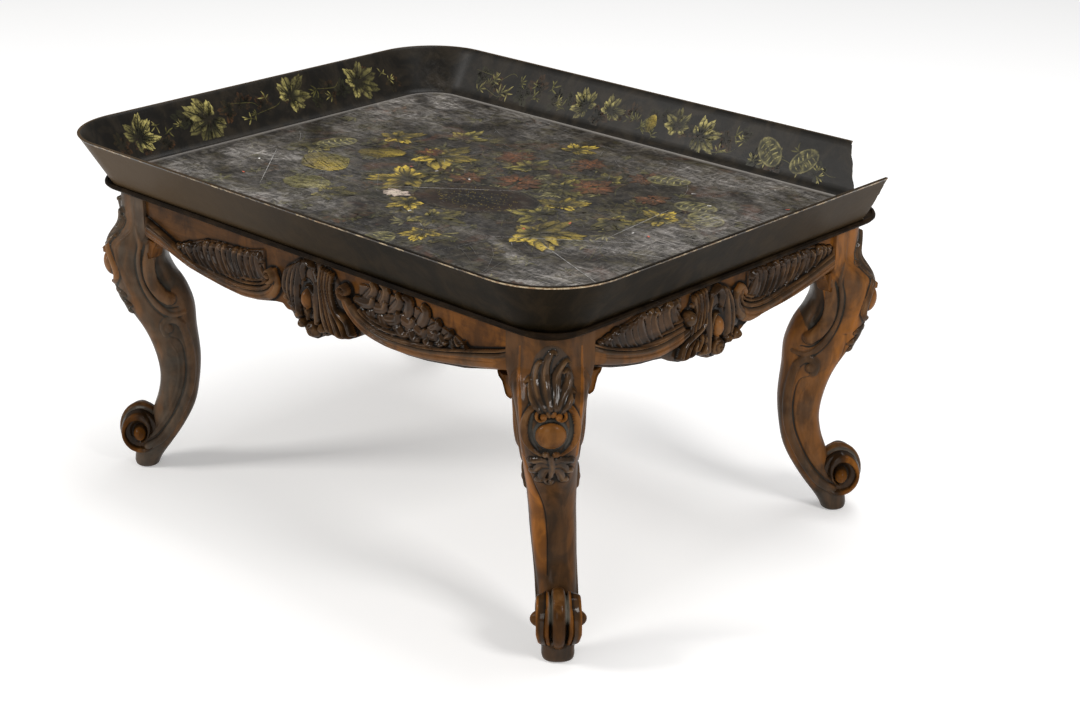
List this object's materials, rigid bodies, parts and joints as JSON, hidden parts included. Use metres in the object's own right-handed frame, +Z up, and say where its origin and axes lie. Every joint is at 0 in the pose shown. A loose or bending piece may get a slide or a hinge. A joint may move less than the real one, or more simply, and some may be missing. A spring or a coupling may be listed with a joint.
{
  "type": "tray on stand",
  "caption": "Large painted and lacquered tray with a flared wall and a broken corner, lying loose on a low carved wooden stand with cabriole legs and scroll feet.",
  "frame": {"origin": "on the floor under the middle of the tray", "axes": "+X along the long side, +Y along the short side to the back, +Z up"},
  "size_m": [0.8, 0.615, 0.4233],
  "materials": {
    "lacquer": "black lacquer over papier-mache, painted and worn",
    "ebonised": "ebonised, satin",
    "walnut": "stained and waxed, worn on the high places",
    "pine": "bare, aged",
    "steel": "dull"
  },
  "bodies": {
    "stand": {"block_screws": "steel", "mitre_keys": "pine", "lip_moulding_front": "ebonised", "lip_moulding_back": "ebonised", "lip_moulding_left": "ebonised", "lip_moulding_right": "ebonised", "seat_board_front": "pine", "seat_board_back": "pine", "seat_board_left": "pine", "seat_board_right": "pine", "leg_front_left": "walnut", "leg_front_right": "walnut", "leg_back_right": "walnut", "leg_back_left": "walnut", "corner_block_front_left": "pine", "corner_block_front_right": "pine", "corner_block_back_right": "pine", "corner_block_back_left": "pine", "apron_front": "walnut", "apron_back": "walnut", "apron_left": "walnut", "apron_right": "walnut"},
    "tray": {"tray": "lacquer"}
  },
  "joints": [
    {"name": "tray_lift", "type": "slide", "parent": "stand", "child": "tray", "axis": [0, 0, 1], "range_m": [0, 0.15]}
  ]
}
